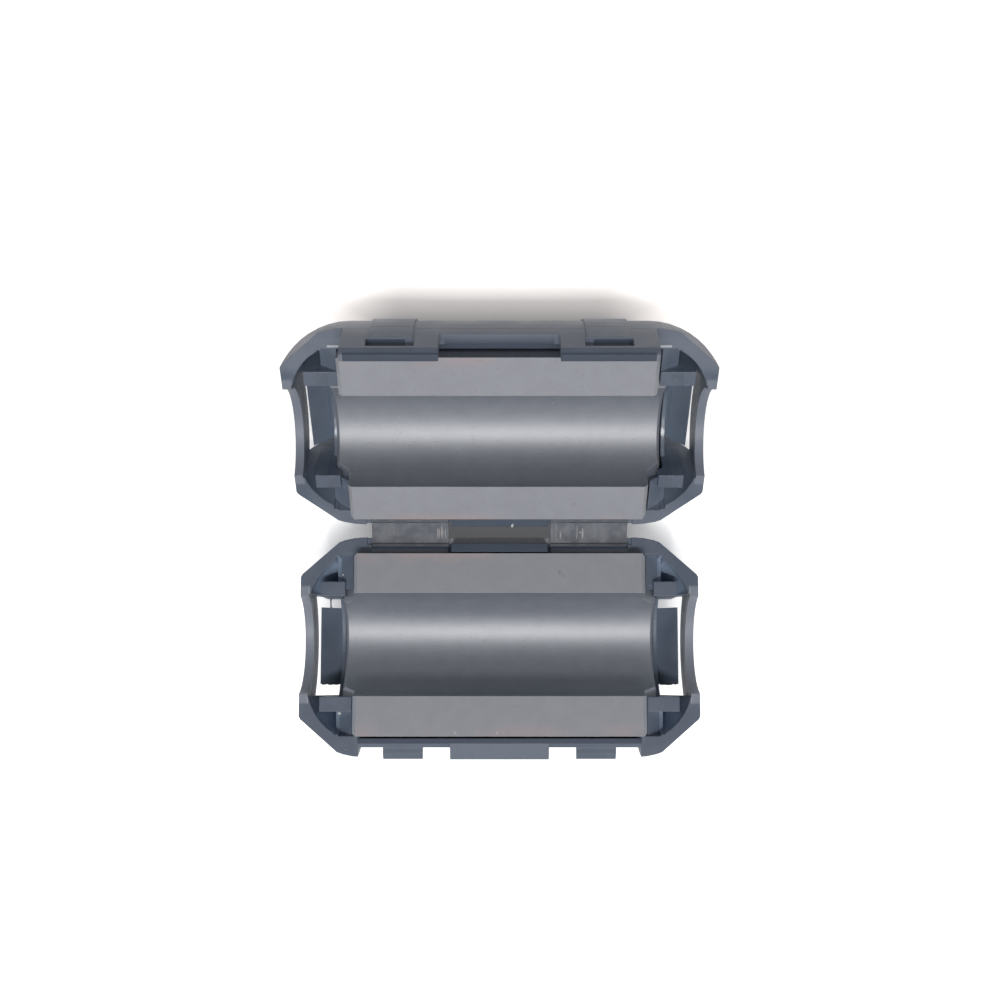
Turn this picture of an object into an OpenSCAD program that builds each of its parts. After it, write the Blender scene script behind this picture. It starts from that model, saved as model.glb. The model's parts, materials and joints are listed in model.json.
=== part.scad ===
// Clip-on ferrite bead for a round cable, lying open on its two backs.
//
// The case is moulded in one shot as two half shells joined by a thin hinge strap.
// Each half holds half of a ferrite tube. The hooks of the lower shell snap
// into the windows of the upper shell's skirt, and the cable runs along X.
//
// Each half is drawn in its own frame, with the ferrite's flat face on Z = 0,
// the cable axis on X, the hinge on the +Y side and the latch on the -Y side.
// It is then turned and moved to where it lies, and the upper half is mirrored.

/* [Ferrite core] */
// Length of a ferrite half
core_len = 28; // [22:0.5:40]
// Diameter of the cable bore
bore_d = 9; // [7:0.1:12]
// Thickness of the ferrite between its bore and its outside
core_wall = 3.5; // [3.2:0.1:5]
// Bevel round the ends of the ferrite
core_bevel = 0.25; // [0.1:0.05:0.5]
// Length of the step at each end of the flat face
notch_len = 1.15; // [1.05:0.05:1.6]
// Bevel on the edge of that step
notch_bevel = 0.3; // [0.1:0.05:0.4]
// Depth of that step where it starts
notch_depth = 1.9; // [1.7:0.05:2.2]
// How much deeper the step is at the end of the ferrite
notch_fall = 0.75; // [0.4:0.05:1]
// Cut across the outer corners of the flat faces
corner_nip = 0.25; // [0.1:0.05:0.6]
// How far the upper ferrite has slid along its shell
core_slide = -0.12; // [-0.15:0.01:0.15]

/* [Case] */
// Wall of the shell outside the ferrite
case_wall = 1.65; // [1.5:0.05:2.2]
// How far the outside of the shell is set towards the latch, where its wall is thicker
case_shift = 0.15; // [0.05:0.05:0.2]
// Length of the case past each end of the ferrite
end_len = 3.7; // [3.5:0.1:5]
// Radius that rounds the barrel into the end face
end_round = 6.3; // [5.6:0.1:8]
// Width of the end wall's rim, from the cable mouth to the outside
end_rim = 1.8; // [1.4:0.1:2.1]
// Length of the flat cut across each corner of the rim
corner_len = 4; // [3.5:0.1:5]
// Thickness of the wall at those corners
corner_wall = 0.9; // [0.7:0.05:1.1]
// Thickness of the floor beside the tongues
end_floor = 1.35; // [1.1:0.05:1.5]
// Thickness of the end wall
end_wall = 0.75; // [0.6:0.05:0.9]
// Thickness of the stop that the end of the ferrite meets
stop_wall = 0.35; // [0.3:0.05:0.6]
// Gap round the ferrite in its shell
core_gap = 0.15; // [0.05:0.01:0.2]
// Height of the ferrite's face over the rim of the shell
rim_drop = 1.35; // [1.25:0.05:1.4]
// Height of the ferrite's face over the wall beside the hinge
hinge_drop = 0.15; // [0.1:0.05:0.4]
// Height of the ferrite's face over the stops at its ends
stop_drop = 2.5; // [2.3:0.1:3.5]
// How much lower the stops are cut where the tongues start
stop_low = 1.6; // [1:0.1:1.7]

/* [Cable grips] */
// Width of the springy tongue in the floor at each end
tongue_w = 7; // [4:0.1:7.2]
// Thickness of the tongue
tongue_t = 0.9; // [0.6:0.1:1.2]
// Rise of the tongue from its root to its tip
tongue_rise = 1.5; // [0.5:0.1:1.8]
// Slot on either side of the tongue
slot_side = 1.05; // [0.8:0.05:1.1]
// Slot past the tip of the tongue
slot_tip = 0.6; // [0.4:0.05:0.8]
// Width of the claws that hold the ferrite down
claw_w = 1.3; // [1:0.1:1.6]
// Depth of the claws' tops below the ferrite's face
claw_drop = 1.4; // [1.2:0.05:1.5]
// Length of the claws past the stop
claw_tail = 1.35; // [0.6:0.05:1.5]
// How much shorter the claws are on the hinge side
claw_short = 0.7; // [0.3:0.05:0.8]
// How much nearer the cable those claws are
claw_near = 0.3; // [0.1:0.05:0.3]
// Thickness of the shelf that closes the corner beside each claw
shelf_t = 0.35; // [0.3:0.05:0.4]

/* [Latch] */
// Height of the upper shell's skirt over the ferrite's face
skirt_h = 2.45; // [2:0.05:2.6]
// Depth of the recess that the skirt slides into
skirt_t = 1; // [0.85:0.05:1.1]
// Bevel on the outer edge of the skirt
skirt_bevel = 0.35; // [0.1:0.05:0.4]
// Room left in the recess past the skirt's edge
recess_room = 1.4; // [1:0.1:1.6]
// Half length of the skirt and of its recess
skirt_half = 12.45; // [11.2:0.05:12.6]
// Running gap between the skirt and the recess
skirt_gap = 0.12; // [0.08:0.01:0.2]
// Distance of each hook from the middle
hook_x = 8.45; // [7.8:0.05:8.8]
// Width of a hook
hook_w = 3.45; // [2.5:0.05:4]
// How far the hooks and the pull tab stand out from the recess
hook_out = 1.05; // [0.9:0.05:1.3]
// Length of a hook's flat top past the recess
hook_flat = 0.55; // [0.3:0.05:0.7]
// Height of the blunt nose of the hooks and the pull tab
hook_nose = 0.4; // [0.2:0.05:0.5]
// Depth of a hook's flat top below the ferrite's face
hook_top = 0.65; // [0.4:0.05:0.8]
// Height of a hook
hook_h = 0.85; // [0.7:0.05:1]
// Height of the lap wall, and of the pull tab's top, over the ferrite's face
lap_h = 0.05; // [0.05:0.05:0.3]
// Height of the pull tab
tab_h = 1; // [0.8:0.05:1.2]
// Bevel on the outer edge of the lap wall
lap_bevel = 0.35; // [0.1:0.05:0.5]
// Gap on each side of a hook in its window
hook_gap = 0.15; // [0.1:0.05:0.3]
// How far the pads under the windows stand out
pad_out = 0.15; // [0.1:0.05:0.3]
// How far down the case the pads reach
pad_drop = 7; // [5:0.5:8]
// Width of the pull tab in the middle
tab_w = 8.6; // [5:0.1:9]
// Gap on each side of the pull tab in its notch
tab_gap = 0.4; // [0.2:0.05:0.6]

/* [Hinge] */
// Angle between the two halves as they lie
open_angle = 135; // [120:1:150]
// Depth of a fold line below the ferrite's face
fold_depth = 1.1; // [1.05:0.05:1.3]
// Gap left between the two ferrite faces when shut
shut_gap = 0.05; // [0.02:0.01:0.1]
// Thickness of the strap
strap_t = 0.45; // [0.35:0.05:0.5]
// Radius of the strap's round edges, which turn in the shells
strap_bead_r = 0.3; // [0.26:0.01:0.32]
// Running gap round those edges
bead_gap = 0.04; // [0.02:0.01:0.08]
// Inner edge of each of the strap's two webs, from the middle
web_in = 4.5; // [4:0.1:6.5]
// Outer edge of each web, from the middle
web_out = 11.3; // [9:0.1:11.6]
// Gap between a web and the walls beside it
web_gap = 0.25; // [0.2:0.05:0.5]
// Thickness of the wall that stands between the webs
mid_wall = 0.75; // [0.6:0.05:0.8]

/* [Hidden] */

$fn = 96;
eps = 0.01;                 // overlap that makes cuts and joins clean
big = 100;                  // larger than the whole bead

plastic = [0.16, 0.18, 0.21];
plastic_worn = [0.30, 0.32, 0.35];
ferrite = [0.42, 0.41, 0.43];

// Radii about the cable axis
bore_r = bore_d / 2;
core_r = bore_r + core_wall;
seat_r = core_r + core_gap;
case_r = seat_r + case_wall;
mouth_r = bore_r;
end_r = mouth_r + end_rim;
stop_r = bore_r + stop_low;

// Distances from the middle along the cable
core_half = core_len / 2;
seat_half = core_half + 0.2;
stop_half = seat_half + stop_wall;
case_half = core_half + end_len;
wall_in = case_half - end_wall;
tongue_tip = wall_in - slot_tip;
round_start = case_half - sqrt(pow(end_round, 2) - pow(end_round - case_r + end_r, 2));

// Latch side: the thin lap wall of the lower shell and the skirt outside it
latch_side = case_r + case_shift;
lap_r = latch_side - skirt_t;
skirt_in = lap_r + skirt_gap;
latch_gap = 0.15;           // up and down, between the two halves when shut
hook_low = hook_top + hook_h;

// Hinge side
fold_y = seat_r + mid_wall;
strap_len = 2 * fold_depth + shut_gap;
wall_cut = fold_depth + strap_bead_r + bead_gap + 0.05;     // clears the strap when it lies flat
fold_angle = (180 - open_angle) / 2;
swing_r = strap_len / 2 - 0.15;                 // room round a fold line when it turns

// Height of the two fold lines when both backs lie on the ground
fold_z = case_r - (fold_y + case_shift) * sin(fold_angle) - fold_depth * cos(fold_angle);

// ---------- placing ----------

// Turns one half about its fold line and sets it down on its back
module lay_down() {
    translate([0, -strap_len / 2, fold_z])
        rotate([-fold_angle, 0, 0])
            translate([0, -fold_y, fold_depth])
                children();
}

module both_ends() {
    children();
    mirror([1, 0, 0]) children();
}

module both_sides() {
    children();
    mirror([0, 1, 0]) children();
}

// A profile of [along X, radius] points turned about the cable axis
module turned(points) {
    rotate([0, 90, 0]) rotate_extrude() polygon([for (p = points) [p[1], p[0]]]);
}

// A round bar about the cable axis, to the same distance on both sides
module bar(radius, half) {
    rotate([0, 90, 0]) cylinder(r = radius, h = 2 * half, center = true);
}

// An [X, Z] outline drawn out from y0 to y1
module drawn_out(points, y0, y1) {
    translate([0, y1, 0]) rotate([90, 0, 0]) linear_extrude(y1 - y0) polygon(points);
}

// A [Y, Z] outline drawn out along the cable, to the same distance on both sides
module drawn_along(points, half) {
    translate([-half, 0, 0]) rotate([90, 0, 90]) linear_extrude(2 * half) polygon(points);
}

// A block between two corners
module block(a, b) {
    translate(a) cube(b - a);
}

// ---------- ferrite ----------

module core_half_ring() {
    b = core_bevel;
    h = core_half;
    difference() {
        turned([[-h, bore_r + b], [-h + b, bore_r], [h - b, bore_r], [h, bore_r + b],
                [h, core_r - b], [h - b, core_r], [-h + b, core_r], [-h, core_r - b]]);
        block([-big, -big, 0], [big, big, big]);
        both_ends() {
            core_notch();
            both_sides() core_corner();
        }
    }
}

// The step at the end of the flat faces, with its bevel and its sloping floor
module core_notch() {
    x0 = core_half - notch_len;
    drawn_out([[x0 - notch_bevel - 1, 1], [x0, -notch_bevel], [x0, -notch_depth],
               [core_half + 1, notch_floor(core_half + 1)], [core_half + 1, 1]], -big, big);
}

// Height of the step's floor at a distance from the middle
function notch_floor(x) = -notch_depth - notch_fall * (x - core_half + notch_len) / notch_len;

// The small cut across an outer corner of a flat face
module core_corner() {
    x0 = core_half - notch_len;
    translate([0, 0, -notch_depth]) linear_extrude(big)
        polygon([[x0 - corner_nip - 1, core_r + 1], [x0 + 1, core_r - corner_nip - 1],
                 [x0 + 1, core_r + 1]]);
}

// ---------- shells ----------

// Radius at one end of the case, or at a depth inside its wall
function end_radius(x, depth) = case_r - end_round
    + sqrt(max(0, pow(end_round - depth, 2) - pow(x - round_start, 2)));

// The rounded end from x0 to x1, with its points closer together where it curves down
function rounded_end(x0, x1, depth, least, n) = [for (i = [0:n])
    let (x = x0 + (x1 - x0) * sin(90 * i / n))
    [x, max(least, end_radius(x, depth))]];

// Everything inside the flat cuts at the corners, or inside their wall
module between_corners(wall) {
    slope = (case_r - end_r) / corner_len;
    out = case_r + 1;
    side = case_half - corner_len - wall / sin(atan(slope)) - 1 / slope;
    far = case_half + 1;
    end = out - slope * (far - side);
    translate([0, 0, -big / 2]) linear_extrude(big)
        polygon([[side, out], [far, end], [far, -end], [side, -out],
                 [-side, -out], [-far, -end], [-far, end], [-side, out]]);
}

module case_outside() {
    right = rounded_end(round_start, case_half, 0, end_r, 10);
    left = [for (i = [len(right) - 1:-1:0]) [-right[i][0], right[i][1]]];
    difference() {
        translate([0, -case_shift, 0]) intersection() {
            turned(concat([[-case_half, 0]], left, right, [[case_half, 0]]));
            between_corners(0);
        }
        block([-big, -big, -rim_drop], [big, big, big]);
    }
}

// The wall beside the hinge stands over the rim: low under the webs, high between them
module hinge_wall() {
    low = web_out + web_gap;
    high = web_in - web_gap;
    drawn_out([[-low, -rim_drop - 0.3], [-low, -fold_depth], [-high, -fold_depth], [-high, -hinge_drop],
               [high, -hinge_drop], [high, -fold_depth], [low, -fold_depth], [low, -rim_drop - 0.3]],
              seat_r, fold_y + 0.2);
}

// The bowl at one end, between the stop and the end wall
module end_chamber() {
    translate([0, -case_shift, 0]) intersection() {
        turned(concat([[stop_half, 0]], rounded_end(stop_half, wall_in, end_floor, mouth_r + 0.2, 6),
                      [[wall_in, 0]]));
        between_corners(corner_wall);
    }
}

// Everything cut out of a shell's inside
module inside() {
    bar(seat_r, seat_half);
    bar(stop_r, stop_half + eps);
    bar(mouth_r, big);
    intersection() {
        bar(core_r, stop_half + 2 * eps);
        block([-big, -big, -stop_drop], [big, big, big]);
    }
    both_ends() {
        end_chamber();
        floor_window();
    }
}

// The opening in the floor at one end, in which the tongue stands
module floor_window() {
    half = tongue_w / 2 + slot_side;
    block([stop_half, -half, -big], [wall_in, half, -1]);
}

// A springy tongue that rises from the stop towards the end wall
module tongue() {
    root = -(mouth_r + 0.3 + tongue_rise);
    tip = -(mouth_r + 0.3);
    drawn_out([[seat_half, root], [stop_half, root], [tongue_tip, tip],
               [tongue_tip, tip - tongue_t], [stop_half, root - tongue_t], [seat_half, root - tongue_t]],
              -tongue_w / 2, tongue_w / 2);
}

// Height of the claws' undersides over the step of the ferrite
function over_step(x) = notch_floor(x) + core_gap;

// A claw whose nose lies over the step of the ferrite, and a shelf from it to the wall
module claw(short, near) {
    y0 = tongue_w / 2 + slot_side + 0.05 - near;
    nose = core_half - notch_len + 0.2;
    tail = stop_half + claw_tail;
    foot = -sqrt(pow(seat_r, 2) - pow(y0 + claw_w, 2));
    drawn_out([[nose + short, -claw_drop], [nose + short, over_step(nose + short)],
               [seat_half, over_step(seat_half)], [seat_half, foot], [tail, foot], [tail, -claw_drop]],
              y0, y0 + claw_w);
    drawn_out([[nose, over_step(nose) + shelf_t], [nose, over_step(nose)],
               [seat_half, over_step(seat_half)], [seat_half, -stop_drop - 0.2],
               [stop_half, -stop_drop - 0.2], [stop_half, over_step(stop_half) + shelf_t]],
              y0 + claw_w / 2, seat_r + 0.15);
}

// The parts that both shells share
module half_shell() {
    difference() {
        union() {
            difference() {
                case_outside();
                inside();
            }
            hinge_wall();
        }
        hinge_cuts();
    }
    intersection() {
        both_ends() {
            tongue();
            claw(claw_short, claw_near);
            mirror([0, 1, 0]) claw(0, 0);
        }
        case_outside();
    }
}

// Room for the strap and for the two halves to turn past each other
module hinge_cuts() {
    // outside the fold line, where the strap lies when the bead is laid flat
    block([-web_out - 2 * web_gap, fold_y, -wall_cut], [web_out + 2 * web_gap, big, big]);
    // the grooves in which the strap's round edges turn
    both_ends() translate([web_in - web_gap / 2, fold_y, -fold_depth])
        rotate([0, 90, 0]) cylinder(r = strap_bead_r + bead_gap, h = web_out - web_in + web_gap);
    // past the room round the fold line
    block([-big, fold_y + swing_r, -big], [big, big, big]);
}

// ---------- latch ----------

// A catch: a flat underside, a blunt nose, a sloping lead-in and a flat top
module catch(width, flat_end, low, top) {
    out = lap_r + hook_out;
    drawn_along([[-lap_r + lap_bevel, low], [-out, low], [-out, low + hook_nose],
                 [-flat_end, top], [-lap_r + lap_bevel, top]], width / 2);
}

// The two hooks, and the pull tab, which slopes all the way from the lap wall's top
module lower_latch() {
    for (x = [-hook_x, hook_x])
        translate([x, 0, 0]) catch(hook_w, lap_r + hook_flat, -hook_low, -hook_top);
    catch(tab_w, lap_r - lap_bevel + eps, lap_h - tab_h, lap_h);
}

// The recess in the outside of the lower shell, for the skirt
module skirt_recess() {
    block([-skirt_half, -big, -skirt_h - recess_room], [skirt_half, -lap_r, big]);
}

// The lap wall stands over the rim, inside the skirt
module lap_wall() {
    drawn_along([[-lap_r, -seat_r / 2], [-lap_r, lap_h - lap_bevel], [-lap_r + lap_bevel, lap_h],
                 [-seat_r, lap_h], [-seat_r, -seat_r / 2]], skirt_half - latch_gap);
}

// The skirt follows the barrel up to its widest line, and stands upright above it
module skirt() {
    rim_angle = asin(rim_drop / case_r);
    barrel = [for (i = [0:4]) let (a = rim_angle * (1 - i / 4))
        [-case_shift - case_r * cos(a), -case_r * sin(a)]];
    drawn_along(concat([[-skirt_in, -rim_drop - 0.2], [-skirt_in - 0.4, -rim_drop - 0.2]], barrel,
                       [[-latch_side, skirt_h - 1.5 * skirt_bevel], [-latch_side + skirt_bevel, skirt_h],
                        [-skirt_in, skirt_h]]), skirt_half - latch_gap);
}

// The windows that the hooks snap into, and the open notch for the pull tab
module latch_windows() {
    window = hook_w / 2 + hook_gap;
    for (x = [-hook_x, hook_x])
        block([x - window, -big, hook_top - latch_gap], [x + window, 0, hook_low + latch_gap]);
    block([-tab_w / 2 - tab_gap, -big, -lap_h - latch_gap], [tab_w / 2 + tab_gap, 0, big]);
}

// Raised pads on the outside of the wall under the windows
module window_pads() {
    for (x = [-hook_x, hook_x]) intersection() {
        translate([0, -case_shift, 0]) difference() {
            bar(case_r + pad_out, core_half);
            bar(case_r - 0.3, big);
        }
        block([x - hook_w / 2, -big, -pad_drop], [x + hook_w / 2, 0, hook_top - latch_gap]);
    }
}

// ---------- hinge strap ----------

module strap_web() {
    w = web_out - web_in;
    translate([web_in, 0, 0]) {
        block([0, -strap_len / 2, -strap_t / 2], [w, strap_len / 2, strap_t / 2]);
        both_sides() translate([0, strap_len / 2, 0])
            rotate([0, 90, 0]) cylinder(r = strap_bead_r, h = w);
    }
}

// ---------- nodes ----------

module lower_shell() {
    color(plastic) lay_down() {
        difference() {
            half_shell();
            skirt_recess();
        }
        lap_wall();
        lower_latch();
    }
}

module upper_shell() {
    color(plastic) mirror([0, 1, 0]) lay_down() difference() {
        union() {
            half_shell();
            skirt();
            window_pads();
        }
        latch_windows();
    }
}

module lower_core() {
    color(ferrite) lay_down() core_half_ring();
}

module upper_core() {
    color(ferrite) mirror([0, 1, 0]) lay_down() translate([core_slide, 0, 0]) core_half_ring();
}

module hinge_strap() {
    color(plastic_worn) translate([0, 0, fold_z]) both_ends() strap_web();
}

lower_shell();
lower_core();
hinge_strap();
upper_shell();
upper_core();
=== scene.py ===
# %% [markdown]
# # A clip-on ferrite bead, dressed in Blender
#
# The bead lies open on its two round backs. Its exact solids come from the CAD
# frame: two half shells, two ferrite halves and a thin hinge strap. This lesson
# gives each of them the surface of the real thing, and adds the small things that
# moulding, grinding and use leave behind.

# %% Load the frame
import json
import math
import random

import bmesh
import bpy
from mathutils import Matrix, Vector
from mathutils.bvhtree import BVHTree

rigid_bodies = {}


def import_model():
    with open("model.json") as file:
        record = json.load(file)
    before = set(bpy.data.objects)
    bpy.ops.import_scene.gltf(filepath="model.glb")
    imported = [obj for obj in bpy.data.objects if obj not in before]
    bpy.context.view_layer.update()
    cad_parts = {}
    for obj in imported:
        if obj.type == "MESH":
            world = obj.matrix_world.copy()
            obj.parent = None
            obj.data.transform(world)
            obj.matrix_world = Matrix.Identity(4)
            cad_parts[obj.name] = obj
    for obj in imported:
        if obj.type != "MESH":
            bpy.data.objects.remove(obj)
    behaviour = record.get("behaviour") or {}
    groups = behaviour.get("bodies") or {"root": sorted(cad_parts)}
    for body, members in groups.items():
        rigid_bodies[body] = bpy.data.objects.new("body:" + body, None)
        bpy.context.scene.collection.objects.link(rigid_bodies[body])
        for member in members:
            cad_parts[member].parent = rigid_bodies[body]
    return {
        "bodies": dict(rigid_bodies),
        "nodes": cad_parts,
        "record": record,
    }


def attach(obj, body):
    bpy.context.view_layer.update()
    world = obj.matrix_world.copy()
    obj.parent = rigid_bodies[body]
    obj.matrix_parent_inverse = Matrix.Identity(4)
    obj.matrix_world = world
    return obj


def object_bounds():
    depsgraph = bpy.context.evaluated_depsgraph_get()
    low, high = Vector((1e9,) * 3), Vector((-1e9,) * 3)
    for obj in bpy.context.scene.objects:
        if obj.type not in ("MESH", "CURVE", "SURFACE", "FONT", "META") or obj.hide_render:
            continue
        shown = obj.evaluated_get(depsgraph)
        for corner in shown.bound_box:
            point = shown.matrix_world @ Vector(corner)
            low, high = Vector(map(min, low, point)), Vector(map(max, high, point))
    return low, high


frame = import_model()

cad_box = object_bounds()
print("CAD box, metres:", [[round(v, 5) for v in corner] for corner in cad_box])

MM = 0.001

# %% [markdown]
# ## Camera
#
# The bead is seen nearly from above, from a point a little over its upper half,
# with that half at the top of the picture. So the camera's own up is +Y. It could be
# aimed by two angles, but its matrix made from three axes can't roll by mistake. Its
# lens is worked out in pixels of a square picture, 1000 across.

# %% Camera
PICTURE = 1000
FOCAL_PX = 1159.8
CENTRE_PX = (499.5, 560)
TILT = math.radians(16.89)
DISTANCE = 0.10415
AIM = Vector((0, -0.002674, 0.005))

back = Vector((0, math.sin(TILT), math.cos(TILT)))
up = Vector((0, math.cos(TILT), -math.sin(TILT)))
right = up.cross(back)

camera_data = bpy.data.cameras.new("camera")
camera_data.sensor_width = 36
camera_data.lens = FOCAL_PX / PICTURE * camera_data.sensor_width
camera_data.shift_x = (PICTURE / 2 - CENTRE_PX[0]) / PICTURE
camera_data.shift_y = (CENTRE_PX[1] - PICTURE / 2) / PICTURE
camera_data.clip_start = 0.005
camera = bpy.data.objects.new("camera", camera_data)
place = AIM + back * DISTANCE
camera.matrix_world = Matrix((
    (right.x, up.x, back.x, place.x),
    (right.y, up.y, back.y, place.y),
    (right.z, up.z, back.z, place.z),
    (0, 0, 0, 1)))
bpy.context.scene.collection.objects.link(camera)
bpy.context.scene.camera = camera
print("camera at", [round(v, 4) for v in place], "lens", round(camera_data.lens, 1))

# %% [markdown]
# ## Small helpers for node trees
#
# Every finish here is a tree of nodes. A node could be made in three lines each
# time, but trees of twenty nodes are easier to read when one call makes a node and
# fills its sockets: a number sets a socket, and another node's output is wired to it.

# %% Node helpers
def link(obj):
    bpy.context.scene.collection.objects.link(obj)
    return obj


def add(tree, kind, values=None, family="ShaderNode", **settings):
    """A node of this kind, with its own settings and with values in its sockets."""
    made = tree.nodes.new(family + kind)
    for name, value in settings.items():
        setattr(made, name, value)
    for key, value in (values or {}).items():
        if isinstance(value, bpy.types.NodeSocket):
            tree.links.new(value, made.inputs[key])
        else:
            made.inputs[key].default_value = value
    return made


def maths(tree, operation, *numbers):
    return add(tree, "Math", dict(enumerate(numbers)), operation=operation).outputs[0]


def ramp(tree, value, low, high, to_low=0.0, to_high=1.0):
    """A soft step: to_low where value is at most low, to_high where it is at least high."""
    return add(tree, "MapRange", {"Value": value, "From Min": low, "From Max": high,
                                  "To Min": to_low, "To Max": to_high},
               interpolation_type="SMOOTHSTEP").outputs["Result"]


def blend(tree, share, first, second, way="MIX"):
    """Two colours mixed. In a Mix node's colour mode, its sockets are numbers 0, 6 and 7."""
    return add(tree, "Mix", {0: share, 6: first, 7: second}, data_type="RGBA",
               blend_type=way).outputs[2]


# %% [markdown]
# Textures and reliefs come next. Blender sizes a noise by a scale, which is lumps
# per metre here. A maker thinks of the size of one lump, so these helpers take that.

# %% Texture helpers
def one_over(tree, size):
    """1 / size, where size is a number or another node's output."""
    if isinstance(size, bpy.types.NodeSocket):
        return maths(tree, "DIVIDE", 1.0, size)
    return 1 / size


def noise(tree, where, size, detail=2.0, rough=0.5):
    """Noise whose lumps are about size metres across."""
    return add(tree, "TexNoise", {"Vector": where, "Scale": one_over(tree, size),
                                  "Detail": detail, "Roughness": rough}).outputs[0]


def relief(tree, shader, height, depth, normal=None):
    """Gives the shader's surface a relief of depth metres."""
    bump = add(tree, "Bump", {"Strength": 1.0, "Distance": depth, "Height": height})
    if normal is not None:
        tree.links.new(normal, bump.inputs["Normal"])
    tree.links.new(bump.outputs["Normal"], shader.inputs["Normal"])


# %% [markdown]
# A finish that several materials share is a group with named sockets, built once
# and placed in each material with its own values. A material itself is a Principled
# shader, and its plain numbers sit on the shader's own sockets.

# %% Group and material helpers
def new_group(name, sockets_in, sockets_out):
    """A shader group with named sockets. Each is given as name: (kind, first value)."""
    tree = bpy.data.node_groups.new(name, "ShaderNodeTree")
    for label, (kind, first) in sockets_in.items():
        socket = tree.interface.new_socket(label, in_out="INPUT", socket_type="NodeSocket" + kind)
        if first is not None:
            socket.default_value = first
    for label, kind in sockets_out.items():
        tree.interface.new_socket(label, in_out="OUTPUT", socket_type="NodeSocket" + kind)
    start = tree.nodes.new("NodeGroupInput")
    end = tree.nodes.new("NodeGroupOutput")
    print("shader group", name, "in", list(sockets_in), "out", list(sockets_out))
    return tree, start.outputs, end.inputs


def use(tree, group, values):
    """The outputs of a group placed in a material, with its sockets filled by name."""
    return add(tree, "Group", values, node_tree=group).outputs


def new_material(name, **constants):
    """A material: itself, its tree, its shader and the place of a point on the piece."""
    material = bpy.data.materials.new(name)
    material.use_nodes = True
    tree = material.node_tree
    shader = tree.nodes["Principled BSDF"]
    for label, value in constants.items():
        shader.inputs[label.replace("_", " ")].default_value = value
    where = add(tree, "TexCoord").outputs["Object"]
    print("material", name, constants)
    return material, tree, shader, where


# %% [markdown]
# ## Floor
#
# The bead lies on a white table, so bright that it shows as plain white. Brighter
# lamps would burn the part too, so instead the floor adds light of its own that only
# the camera and mirrors see. Close to the part there is little of it, and the shadow
# stays. Beside the shadow there is more, so that its two ends fade out softly.

# %% Floor
FLOOR_HALF = 1.5
FLOOR_WHITE = (0.88, 0.875, 0.865, 1)
FOOT_X = (6 * MM, 18 * MM)
FOOT_Y = (15.8 * MM, 21.4 * MM)
FLOOR_GLOW = (0.075, 0.45)
BESIDE = [  # limits of |x| and of y in mm, and the glow added there
    ((15.6, 16.8), (6, 2), 0.2), ((8.4, 14.6), (14, 17), 0.36)]
COOL, WARM = (0.98, 0.985, 1, 1), (1, 0.94, 0.91, 1)
WARM_FROM, WARM_FULL = 10 * MM, 15 * MM

floor_mesh = bpy.data.meshes.new("floor")
floor_mesh.from_pydata([(x * FLOOR_HALF, y * FLOOR_HALF, 0)
                        for x, y in ((-1, -1), (1, -1), (1, 1), (-1, 1))], [], [(0, 1, 2, 3)])
floor = link(bpy.data.objects.new("floor", floor_mesh))
floor_mat, tree, shader, where = new_material("floor", Base_Color=FLOOR_WHITE, Roughness=0.9,
                                              Specular_IOR_Level=0.2)
axis = add(tree, "SeparateXYZ", {0: where}).outputs
from_middle = maths(tree, "ABSOLUTE", axis["X"])
away_x = ramp(tree, from_middle, *FOOT_X)
away_y = ramp(tree, maths(tree, "ABSOLUTE", axis["Y"]), *FOOT_Y)
seen_by = add(tree, "LightPath").outputs
looked_at = maths(tree, "MAXIMUM", seen_by["Is Camera Ray"],
                  maths(tree, "MAXIMUM", seen_by["Is Glossy Ray"], seen_by["Is Transmission Ray"]))
glow = ramp(tree, maths(tree, "MAXIMUM", away_x, away_y), 0.0, 1.0, *FLOOR_GLOW)
for (x_low, x_high), (y_low, y_high), extra in BESIDE:
    in_x = ramp(tree, from_middle, x_low * MM, x_high * MM, 0.0, extra)
    in_y = ramp(tree, axis["Y"], y_low * MM, y_high * MM)
    glow = maths(tree, "ADD", glow, maths(tree, "MULTIPLY", in_x, in_y))
# the glow turns warmer behind the part, which tints the shadow there a little brown
tree.links.new(blend(tree, ramp(tree, axis["Y"], WARM_FROM, WARM_FULL), COOL, WARM),
               shader.inputs["Emission Color"])
tree.links.new(maths(tree, "MULTIPLY", glow, looked_at), shader.inputs["Emission Strength"])
floor_mesh.materials.append(floor_mat)

# %% [markdown]
# ## Lamps and white surroundings
#
# A small dark part is usually lit by lamps overhead and by the white room. Here one
# long narrow lamp hangs nearly overhead, so each ferrite bore carries one soft
# highlight. A wider lamp in front lights the plastic, and a narrow shadow falls
# behind the upper half. The room is a little darker on that side. A picture of a
# real room could light the part too, but two lamps are easier to move and measure.

# %% World and lamps
ROOM_LIGHT = 0.40
DARK_SIDE = 0.42
DARK_FROM, DARK_FULL = -0.4, 0.8
LAMP_AWAY = 0.5
LAMPS = {  # lean in degrees from overhead towards -Y, size in metres and power in watts
    "overhead_lamp": (5.5, (0.30, 0.060), 1.38), "front_lamp": (22, (0.30, 0.12), 0.55)}

world = bpy.data.worlds.new("studio")
bpy.context.scene.world = world
world.use_nodes = True
tree = world.node_tree
seen_by = add(tree, "LightPath").outputs
looked_at = maths(tree, "MAXIMUM", seen_by["Is Camera Ray"], seen_by["Is Transmission Ray"])
direction = add(tree, "SeparateXYZ", {0: add(tree, "TexCoord").outputs["Generated"]}).outputs
side = ramp(tree, direction["Y"], DARK_FROM, DARK_FULL, 1.0, DARK_SIDE)
room = ramp(tree, seen_by["Is Glossy Ray"], 0.0, 1.0, ROOM_LIGHT, 1.0)
background = tree.nodes["Background"]
background.inputs["Color"].default_value = (1, 1, 1, 1)
tree.links.new(maths(tree, "MAXIMUM", looked_at, maths(tree, "MULTIPLY", room, side)),
               background.inputs["Strength"])

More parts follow.
